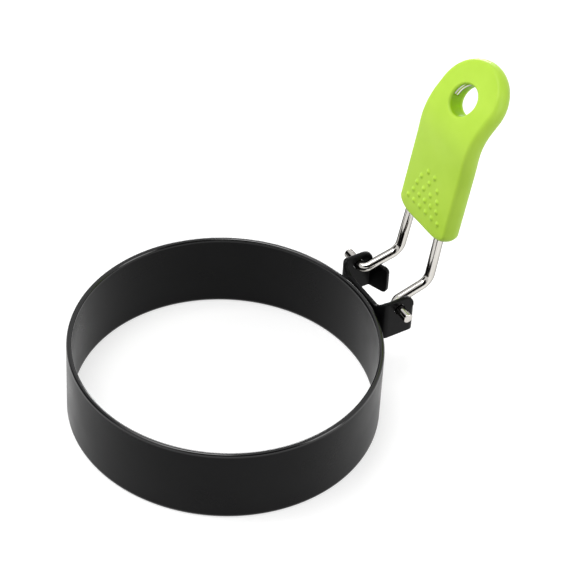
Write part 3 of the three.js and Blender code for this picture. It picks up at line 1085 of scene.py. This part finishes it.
@dataclass(frozen=True)
class Grip:
    """The soft grip, moulded over the wire, with its dots and its hanging hole. Sizes in mm.

    Its plan is a flat outline round the hole. The surface is a closed ring round the hole: one
    parameter goes round the outline, and the other from the hole's front lip over the front
    face, the side and the back face to the hole's wall.

    Attributes:
        line: the handle's side line.
        half_width, half_thick: half the grip's width at its foot, and half its thickness.
        set_back, head_set_back: depth of its middle behind the wire, below and in the head.
        foot: where it begins, from the line's own beginning of the grip.
        corner_run, corner_rise: size of the foot's elliptical corners, across and along.
        head_along, head_width, head_length, head_power: where the head's superellipse begins,
            its half sizes and its power.
        crown, crown_run: swell of the front face, and the distance over which it rises.
        side_run: distance over which the side is rounded.
        face_power, side_power: the powers a and b of that rounding.
        hole_along, hole_radius: place and radius of the hanging hole.
        hole_lean: how far its centre moves up the grip with each mm of depth.
        lip_round, lip_tint: radius of the hole's lips, and the front lip's share of the wall's
        painted shade.
        slot_half, slot_lead, slot_deep: half height of the slots, how far their middle lies in
            front of the wire's depth in the grip, and their depth.
        slot_edge: thickness of a slot's edges.
        slot_from, slot_to, slot_fade: degrees between which a slot lies, and over which it ends.
        shift_from, shift_to: lengths between which set_back becomes head_set_back.
        dot_half: half the width that the rows' shares are taken of.
        dot_foot, dot_flat, dot_height: a dot's radius, the share of it that is level, its height.
        dot_start, dot_pitch: the first row's place, and the distance between rows.
        dot_counts, dot_shares: dots in each row, and the row's share of dot_half.
        front_steps to head_steps: steps of the mesh.
        straight_spacing, front_spacing: powers that draw points together at one end.
        side_share: most of a ray's length that the side's rounding may take up.
        crease_deg: edges that turn more than this shade sharp.
    """

    line: HandleLine
    half_width: float = 13.4
    half_thick: float = 3.15
    set_back: float = 0.93
    head_set_back: float = 0.35
    foot: float = 0.0
    corner_run: float = 7.5
    corner_rise: float = 4.5
    head_along: float = 48.95
    head_width: float = 13.4
    head_length: float = 13.45
    head_power: float = 1.97
    crown: float = 0.4
    crown_run: float = 9.0
    side_run: float = 2.0
    face_power: float = 2.6
    side_power: float = 1.7
    hole_along: float = 48.4
    hole_radius: float = 5.2
    hole_lean: float = 0.17
    lip_round: float = 0.75
    lip_tint: float = 0.6
    slot_half: float = 1.1
    slot_lead: float = 0.85
    slot_deep: float = 1.5
    slot_edge: float = 0.05
    slot_from: float = 42.0
    slot_to: float = 106.0
    slot_fade: float = 8.0
    shift_from: float = 27.35
    shift_to: float = 45.35
    dot_half: float = 14.5
    dot_foot: float = 1.02
    dot_flat: float = 0.2
    dot_height: float = 0.52
    dot_start: float = 6.95
    dot_pitch: float = 3.35
    dot_counts: tuple[int, ...] = (6, 5, 4, 3, 2)
    dot_shares: tuple[float, ...] = (0.58, 0.45, 0.395, 0.31, 0.127)
    front_steps: int = 104
    back_steps: int = 26
    side_steps: int = 16
    lip_steps: int = 5
    wall_steps: int = 3
    end_steps: int = 18
    corner_steps: int = 34
    straight_steps: int = 59
    head_steps: int = 40
    straight_spacing: float = 1.15
    front_spacing: float = 0.9
    side_share: float = 0.8
    crease_deg: float = 60.0

    def side_width(self, along: Array) -> Array:
        """Half the width of the straight part, which narrows evenly towards the head."""
        share = (along - self.foot) / (self.head_along - self.foot)
        return self.half_width + (self.head_width - self.half_width) * share

    def outline(self) -> Array:
        """The grip's plan: a level end, an elliptical corner, a straight side and half the head.

        The head is half of a superellipse, |x / length|^p + |y / width|^p = 1.

        Returns:
            Length along the grip and distance across, once round.
        """
        flat = self.half_width - self.corner_run
        across = np.linspace(0.0, flat, self.end_steps + 1)[:-1]
        level = np.column_stack([np.full(across.shape, self.foot), across])
        turn = arc(0.0, math.pi / 2, self.corner_steps)[:-1]
        rise = self.foot + self.corner_rise * (1 - np.cos(turn))
        bend = np.column_stack([rise, self.side_width(rise) - self.corner_run * (1 - np.sin(turn))])
        first = self.foot + self.corner_rise
        share = np.linspace(0.0, 1.0, self.straight_steps + 1)[:-1] ** self.straight_spacing
        run = first + (self.head_along - first) * share
        side = np.column_stack([run, self.side_width(run)])
        head = arc(0.0, math.pi / 2, self.head_steps)
        power = 2 / self.head_power
        tip = np.column_stack(
            [
                self.head_along + self.head_length * np.sin(head) ** power,
                self.head_width * np.clip(np.cos(head), 0.0, 1.0) ** power,
            ]
        )
        tip[-1, 1] = 0.0
        half = np.concatenate([level, bend, side, tip])
        return np.concatenate([half, half[-2:0:-1] * np.array([1.0, -1.0])])

    def dots(self) -> Array:
        """The dots lie in rows across the grip that grow shorter upwards.

        Returns:
            Length along the grip and distance across for each dot.
        """
        places = []
        for row, (count, share) in enumerate(zip(self.dot_counts, self.dot_shares)):
            along = np.full(count, self.dot_start + row * self.dot_pitch)
            across = self.dot_half * share * np.linspace(-1.0, 1.0, count)
            places.append(np.column_stack([along, across]))
        return np.concatenate(places)

    def middle(self, along: Array) -> Array:
        """Depth of the grip's middle behind the wire: less in the head than below it."""
        share = smoothstep(self.shift_from, self.shift_to, along)
        return self.set_back + (self.head_set_back - self.set_back) * share

    @staticmethod
    def to_edge(points: Array, rim: Array) -> Array:
        """Distance from each point to the nearest point a + share (b - a) of the outline's edges.

        Args:
            points: points of the plan.
            rim: the outline's points.

        Returns:
            A distance for each point.
        """
        ahead = np.roll(rim, -1, axis=0) - rim
        away = points[:, None, :] - rim
        share = np.clip((away * ahead).sum(axis=-1) / (ahead**2).sum(axis=-1), 0.0, 1.0)
        return np.linalg.norm(away - share[..., None] * ahead, axis=-1).min(axis=1)

    def hole_centre(self, depth: Array | float) -> Array:
        """The hole's centre in the plan, which moves up the grip with the depth."""
        along = self.hole_along + self.hole_lean * np.asarray(depth, float)
        return np.stack([along, np.zeros_like(along)], axis=-1)

    def sections(self, depth: float) -> tuple[Array, Array, Array]:
        """Every plan point of one face, its half thickness and its distance from the side.

        The points lie on rays from the hole's centre to the outline's points, close together
        on the hole's lip and near the side. At a distance d inside the outline the half
        thickness is t (1 - (1 - d / run)^a)^(1 / b). The lip is a quarter circle.

        Args:
            depth: the face's depth, for the place of its lip.

        Returns:
            Plan points, outline point by outline point, with their half thickness and distance.
        """
        rim, centre = self.outline(), self.hole_centre(depth)
        ray = rim - centre
        reach = np.linalg.norm(ray, axis=1)
        ray = ray / reach[:, None]
        edge = np.roll(rim, -1, axis=0) - np.roll(rim, 1, axis=0)
        edge /= np.linalg.norm(edge, axis=1, keepdims=True)
        facing = np.abs(ray[:, 0] * edge[:, 1] - ray[:, 1] * edge[:, 0])
        turn = arc(math.pi / 2, 0.0, self.side_steps)
        inside = self.side_run * (1 - np.cos(turn) ** (2 / self.face_power))
        most = self.side_share * (reach - self.hole_radius)
        side = reach[:, None] - np.minimum(inside / facing[:, None], most[:, None])
        bend = arc(0.0, math.pi / 2, self.lip_steps)
        lip = self.hole_radius + self.lip_round * (1 - np.cos(bend))
        share = np.linspace(0.0, 1.0, self.front_steps + 2)[1:-1] ** self.front_spacing
        middle = lip[-1] + share * (side[:, :1] - lip[-1])
        radial = np.concatenate([np.broadcast_to(lip, (len(rim), len(lip))), middle, side], axis=1)
        plan = centre + radial[..., None] * ray[:, None, :]
        columns = [self.to_edge(column, rim) for column in plan[:, :-1].swapaxes(0, 1)]
        inner = np.stack([*columns, np.zeros(len(rim))], axis=1)
        left = np.clip(1 - inner / self.side_run, 0.0, 1.0)
        thick = self.half_thick * (1 - left**self.face_power) ** (1 / self.side_power)
        thick[:, : len(lip)] -= self.lip_round * (1 - np.sin(bend))
        return plan, thick, inner

    def raised(self, plan: Array) -> Array:
        """How far the dots lift the front at each plan point: a dome that flares into the face."""
        gap = np.linalg.norm(plan[..., None, :] - self.dots(), axis=-1).min(axis=-1)
        return self.dot_height * (1 - smoothstep(self.dot_flat, 1.0, gap / self.dot_foot))

    def swell(self, inner: Array) -> Array:
        """How far the front face swells: crown (1 - (1 - d / run)^2) at a distance d inside."""
        return self.crown * (1 - np.clip(1 - inner / self.crown_run, 0.0, 1.0) ** 2)

    def wall(self, rim: Array, front: Array) -> tuple[Array, Array]:
        """The hole's wall, from the back lip to the front lip, with two slots that show the wire.

        A slot lies on each side, from slot_from to slot_to degrees from the tip's direction. In
        it the wall lies slot_deep further out than the hole's radius.

        Args:
            rim: the outline's points.
            front: depth of the front lip's inner edge, one for each outline point.

        Returns:
            Plan points and depths, outline point by outline point.
        """
        limit, middle = self.half_thick - self.lip_round, -self.head_set_back - self.slot_lead
        high, low, edge = middle + self.slot_half, middle - self.slot_half, self.slot_edge
        share = np.linspace(0.0, 1.0, self.wall_steps + 1)
        back = limit + share[1:] * (high - limit)
        back = np.concatenate([back, [high - edge, middle, low + edge]])
        back = np.broadcast_to(back, (len(rim), len(back)))
        depth = np.concatenate([back, low + share[:-1] * (front[:, None] - low)], axis=1)
        open_here = np.abs(depth - middle) < self.slot_half - edge / 2
        towards_tip = np.degrees(np.arctan2(np.abs(rim[:, 1]), rim[:, 0] - self.hole_along))
        begins = smoothstep(self.slot_from, self.slot_from + self.slot_fade, towards_tip)
        ends = smoothstep(self.slot_to - self.slot_fade, self.slot_to, towards_tip)
        out = (begins * (1 - ends))[:, None] * open_here
        radius = self.hole_radius + self.slot_deep * out
        centre = self.hole_centre(depth)
        ray = rim[:, None, :] - centre
        ray /= np.linalg.norm(ray, axis=-1, keepdims=True)
        return centre + radius[..., None] * ray, depth

    def surface(self) -> Surface:
        """The whole grip as one closed ring of sections round the hole.

        Its attribute "inside" is 1 on the hole's wall and 0 on the faces; where it is 1 the
        material paints shade, a darker green.

        Returns:
            The grip's surface.
        """
        plan, thick, inner = self.sections(-self.half_thick)
        full = thick / self.half_thick
        front_depth = -(thick + full * (self.raised(plan) + self.swell(inner)))
        keep = np.r_[0 : self.lip_steps + 1, self.back_columns(plan.shape[1])]
        back = [table[:, keep][:, ::-1][:, 1:] for table in self.sections(self.half_thick)[:2]]
        back_plan, back_depth = back
        wall_plan, wall_depth = self.wall(plan[:, -1], front_depth[:, 0])
        inside = [np.zeros(plan.shape[1] + back_plan.shape[1]), np.ones(wall_plan.shape[1])]
        inside = np.concatenate(inside)
        # painted shade: the front lip takes part of the hole wall's darker green
        inside[0] = self.lip_tint
        plan = np.concatenate([plan, back_plan, wall_plan], axis=1)
        depth = np.concatenate([front_depth, back_depth, wall_depth], axis=1)
        depth = depth + self.middle(plan[..., 0])
        start = self.line.grip_start()
        points = self.line.place(start + plan[..., 0], plan[..., 1], depth)
        quads = grid_quads(*plan.shape[:2], True, True)
        extras = {"inside": np.tile(inside, len(plan))}
        return Surface(points.reshape(-1, 3), quads, extras=extras)

    def back_columns(self, columns: int) -> Array:
        """The columns of the front that the plain back keeps: fewer in the middle.

        Args:
            columns: number of the front's columns.

        Returns:
            Numbers of the columns after the lip's.
        """
        first, last = self.lip_steps + 1, columns - self.side_steps - 1
        middle = np.linspace(first, last - 1, self.back_steps).round().astype(int)
        return np.concatenate([middle, np.arange(last, columns)])

    def build(self, bench: Bench, silicone: bpy.types.Material) -> None:
        """Makes the grip and lets it stand for the CAD grip."""
        made = bench.piece("silicone_grip", self.surface(), silicone, self.crease_deg)
        hand_over(made, Body.HANDLE, "grip")


@dataclass(frozen=True)
class PhotoCamera:
    """The camera, as fitted to the photo. Its place is in mm from the middle of the ring's base.

    Attributes:
        eye: the lens's place.
        heading: where it looks, from +Y towards +X.
        tilt: how far it looks down.
        roll: how far the picture is turned.
        focal_px: focal length in pixels of the photo.
        off_centre_px: how far the optical centre lies right of and below the picture's.
        clip: nearest and furthest distance that it shows, in metres.
    """

    eye: tuple[float, float, float] = (-327.31, -529.54, 617.34)
    heading: float = math.radians(33.437)
    tilt: float = math.radians(42.3076)
    roll: float = math.radians(3.3977)
    focal_px: float = 2733.06
    off_centre_px: float = 0.5
    clip: tuple[float, float] = (0.05, 30.0)

    def build(self, bench: Bench) -> None:
        """Makes the camera and makes it the scene's own.

        Args:
            bench: where the egg ring stands.
        """
        lens = bpy.data.cameras.new("photo_camera")
        lens.sensor_width = SENSOR_MM
        lens.lens = self.focal_px * SENSOR_MM / PHOTO_PX
        lens.shift_x = -self.off_centre_px / PHOTO_PX
        lens.shift_y = self.off_centre_px / PHOTO_PX
        lens.clip_start, lens.clip_end = self.clip
        right = np.array([math.cos(self.heading), -math.sin(self.heading), 0.0])
        level = np.array([math.sin(self.heading), math.cos(self.heading), 0.0])
        forward = math.cos(self.tilt) * level - math.sin(self.tilt) * np.array([0.0, 0.0, 1.0])
        up = np.cross(right, forward)
        cos, sin = math.cos(self.roll), math.sin(self.roll)
        turned = np.column_stack([cos * right + sin * up, cos * up - sin * right, -forward])
        camera = bpy.data.objects.new("photo_camera", lens)
        place = Matrix(turned.tolist()).to_4x4()
        place.translation = bench.to_row(np.array([self.eye]))[0]
        camera.matrix_world = place
        bpy.context.scene.collection.objects.link(camera)
        bpy.context.scene.camera = camera
        LOG.info("camera: %.1f mm lens", lens.lens)


@dataclass(frozen=True)
class SoftLight:
    """A softbox. Its place is in mm from the middle of the ring's base, and it faces that point.

    Attributes:
        name: the lamp's name.
        place: where it hangs.
        size: its width and height in metres.
        watts: its power.
        mirrored: whether gloss shows it.
    """

    name: str
    place: tuple[float, float, float]
    size: tuple[float, float]
    watts: float
    mirrored: bool = True

    def build(self, bench: Bench) -> None:
        """Makes the lamp and turns it towards the egg ring.

        Args:
            bench: where the egg ring stands.
        """
        lamp = bpy.data.lights.new(self.name, "AREA")
        lamp.shape = "RECTANGLE"
        lamp.size, lamp.size_y = self.size
        lamp.energy = self.watts
        made = bpy.data.objects.new(self.name, lamp)
        made.location = bench.to_row(np.array([self.place]))[0]
        aim = Vector(bench.centre) - made.location
        made.rotation_euler = aim.to_track_quat("-Z", "Y").to_euler()
        made.visible_glossy = self.mirrored
        bpy.context.scene.collection.objects.link(made)


@dataclass(frozen=True)
class DarkPatch:
    """A dark part of the room, which only gloss shows.

    Attributes:
        way: direction of its middle.
        span: cosines of the angles from there at which it begins and is fully black.
    """

    way: tuple[float, float, float]
    span: tuple[float, float]

    def darken(
        self, tree: bpy.types.NodeTree, way: bpy.types.NodeSocket, light: bpy.types.NodeSocket
    ) -> bpy.types.NodeSocket:
        """Multiplies light by zero in the patch and by one outside.

        Args:
            tree: the world's node tree.
            way: the socket of the ray's direction.
            light: the socket of the brightness so far.

        Returns:
            The socket of the new brightness.
        """
        toward = {1: self.way}
        near = add_node(tree, "ShaderNodeVectorMath", toward, {0: way}, operation="DOT_PRODUCT")
        span = {"From Min": self.span[0], "From Max": self.span[1], "To Min": 1.0, "To Max": 0.0}
        share = add_node(tree, "ShaderNodeMapRange", span, {"Value": near.outputs["Value"]})
        both = {0: light, 1: share.outputs["Result"]}
        return add_node(tree, "ShaderNodeMath", None, both, operation="MULTIPLY").outputs[0]


@dataclass(frozen=True)
class Studio:
    """A plain pale floor, a white background, soft lamps and the room's dark parts.

    Attributes:
        floor_half: half the floor's side in metres.
        floor_drop_mm: how far the floor lies under the egg ring.
        floor_colour: the floor's own colour.
        floor_lift: what the floor shows on top of the light on it, to the camera and in gloss.
        sky: brightness of the surroundings as a light.
        gloss_sky: brightness of their white parts in gloss.
        painted_reflection: a round dark patch on the floor behind the handle, which only gloss
            shows: a painted dark reflection, which gives the bright wire its dark edges. Place in
                mm from the ring's
            middle, and radius.
        painted_reflection_fade: how far its soft edge reaches past that radius, in mm.
        painted_reflection_colour: the colour of that painted dark reflection.
        patches: the dark parts: at the right of the camera, behind near the floor, at the back
            left, and above the camera.
        lamps: the softboxes.
    """

    floor_half: float = 4.0
    floor_drop_mm: float = 0.02
    floor_colour: str = "#c0c0c0"
    floor_lift: float = 0.6
    sky: float = 0.4
    gloss_sky: float = 0.8
    # painted dark reflection: a patch on the floor that only glossy rays see
    painted_reflection: tuple[float, float, float] = (72.0, 72.0, 22.0)
    painted_reflection_fade: float = 36.0
    painted_reflection_colour: str = "#141414"
    patches: tuple[DarkPatch, ...] = (
        DarkPatch((0.05, -0.83, 0.555), (0.86, 0.93)),
        DarkPatch((0.1, 0.975, 0.2), (0.955, 0.98)),
        DarkPatch((-0.663, 0.618, 0.423), (0.88, 0.94)),
        DarkPatch((-0.44, -0.55, 0.71), (0.9, 0.95)),
    )
    lamps: tuple[SoftLight, ...] = (
        SoftLight("top_softbox", (-250.0, 100.0, 1300.0), (0.7, 0.7), 9.3),
        SoftLight("back_softbox", (620.0, 830.0, 190.0), (0.45, 0.5), 7.0),
        SoftLight("left_softbox", (-1100.0, 900.0, 600.0), (0.7, 0.9), 11.5, False),
        SoftLight("right_softbox", (650.0, -900.0, 450.0), (0.5, 0.8), 4.5),
    )

    def on_painted_reflection(self, tree: bpy.types.NodeTree, bench: Bench) -> bpy.types.NodeSocket:
        """One where a glossy ray meets the painted dark reflection on the floor, else zero.

        Args:
            tree: the floor's node tree.
            bench: where the egg ring stands.

        Returns:
            The socket that holds the number.
        """
        x, y, radius = self.painted_reflection
        middle = (*bench.to_row(np.array([x, y, 0.0]))[:2], 0.0)
        where = {0: add_node(tree, "ShaderNodeTexCoord").outputs["Object"]}
        away = add_node(tree, "ShaderNodeVectorMath", {1: middle}, where, operation="DISTANCE")
        near, far = radius * MM, (radius + self.painted_reflection_fade) * MM
        span = {"From Min": near, "From Max": far, "To Min": 1.0, "To Max": 0.0}
        painted_reflection = add_node(tree, "ShaderNodeMapRange", span, {"Value": away.outputs["Value"]})
        glossy = add_node(tree, "ShaderNodeLightPath").outputs["Is Glossy Ray"]
        both = {0: painted_reflection.outputs["Result"], 1: glossy}
        return add_node(tree, "ShaderNodeMath", None, both, operation="MULTIPLY").outputs[0]

    def floor_finish(self, bench: Bench) -> bpy.types.Material:
        """The floor's material: its shadows, its lift and the painted dark reflection.

        The lift is seen by the camera, in gloss and through glass, and lights nothing.

        Args:
            bench: where the egg ring stands.

        Returns:
            The new material.
        """
        material, tree = blank_material("studio_floor")
        path = add_node(tree, "ShaderNodeLightPath").outputs
        seen = path["Is Camera Ray"]
        for kind in ("Is Glossy Ray", "Is Transmission Ray"):
            both = {0: seen, 1: path[kind]}
            seen = add_node(tree, "ShaderNodeMath", None, both, operation="MAXIMUM").outputs[0]
        level = {1: self.floor_lift}
        lift = add_node(tree, "ShaderNodeMath", level, {0: seen}, operation="MULTIPLY")
        glow = add_node(tree, "ShaderNodeEmission", None, {"Strength": lift.outputs[0]})
        plain = add_node(tree, "ShaderNodeBsdfDiffuse", {"Color": linear(self.floor_colour)})
        both = {0: plain.outputs[0], 1: glow.outputs[0]}
        lit = add_node(tree, "ShaderNodeAddShader", None, both)
        # painted dark reflection: glossy rays see a near-black patch here
        painted_reflection = add_node(tree, "ShaderNodeBsdfDiffuse", {"Color": linear(self.painted_reflection_colour)})
        links = {0: self.on_painted_reflection(tree, bench), 1: lit.outputs[0], 2: painted_reflection.outputs[0]}
        shown = add_node(tree, "ShaderNodeMixShader", None, links)
        add_node(tree, "ShaderNodeOutputMaterial", None, {"Surface": shown.outputs[0]})
        return material

    def floor(self, bench: Bench) -> None:
        """Makes the floor, a level square under the ring.

        Args:
            bench: where the egg ring stands.
        """
        half = self.floor_half
        mesh = bpy.data.meshes.new("floor")
        corners = [(-half, -half, 0.0), (half, -half, 0.0), (half, half, 0.0), (-half, half, 0.0)]
        mesh.from_pydata(corners, [], [(0, 1, 2, 3)])
        mesh.materials.append(self.floor_finish(bench))
        made = bpy.data.objects.new("floor", mesh)
        made.location.z = bench.centre[2] - self.floor_drop_mm * MM
        bpy.context.scene.collection.objects.link(made)

    def surroundings(self) -> None:
        """White to the camera, and in gloss white but for the room's dark parts."""
        world = bpy.data.worlds.new("studio")
        bpy.context.scene.world = world
        world.use_nodes = True
        tree = world.node_tree
        tree.nodes.clear()
        path = add_node(tree, "ShaderNodeLightPath").outputs
        way = add_node(tree, "ShaderNodeTexCoord").outputs["Generated"]
        sky = add_node(tree, "ShaderNodeValue").outputs[0]
        sky.default_value = self.gloss_sky
        for patch in self.patches:
            sky = patch.darken(tree, way, sky)
        links = {"Factor": path["Is Glossy Ray"], "B": sky}
        gloss = add_node(tree, "ShaderNodeMix", {"A": self.sky}, links)
        both = {0: path["Is Camera Ray"], 1: path["Is Transmission Ray"]}
        clear = add_node(tree, "ShaderNodeMath", None, both, operation="MAXIMUM")
        links = {"Factor": clear.outputs[0], "A": gloss.outputs["Result"]}
        level = add_node(tree, "ShaderNodeMix", {"B": 1.0}, links)
        white, strength = {"Color": linear("#ffffff")}, {"Strength": level.outputs["Result"]}
        light = add_node(tree, "ShaderNodeBackground", white, strength)
        add_node(tree, "ShaderNodeOutputWorld", None, {"Surface": light.outputs[0]})

    def build(self, bench: Bench) -> None:
        """Makes the floor, the surroundings and the lamps, and sets plain colours.

        Args:
            bench: where the egg ring stands.
        """
        self.floor(bench)
        self.surroundings()
        for lamp in self.lamps:
            lamp.build(bench)
        bpy.context.scene.view_settings.view_transform = "Standard"
        LOG.info("studio: %d lamps", len(self.lamps))


def main() -> None:
    """Builds the egg ring on its frame, piece by piece, and then the camera and the studio."""
    logging.basicConfig(level=logging.INFO, format="%(name)s: %(message)s")
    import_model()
    bench = Bench.from_frame()
    PhotoCamera().build(bench)
    coating = CoatedSteel().material()
    line = HandleLine()
    Band().build(bench, coating)
    BracketSheet().build(bench, coating)
    Hairpin(line).build(bench, DrawnWire().material())
    Grip(line).build(bench, MouldedSilicone().material())
    Studio().build(bench)


if __name__ == "__main__":
    main()
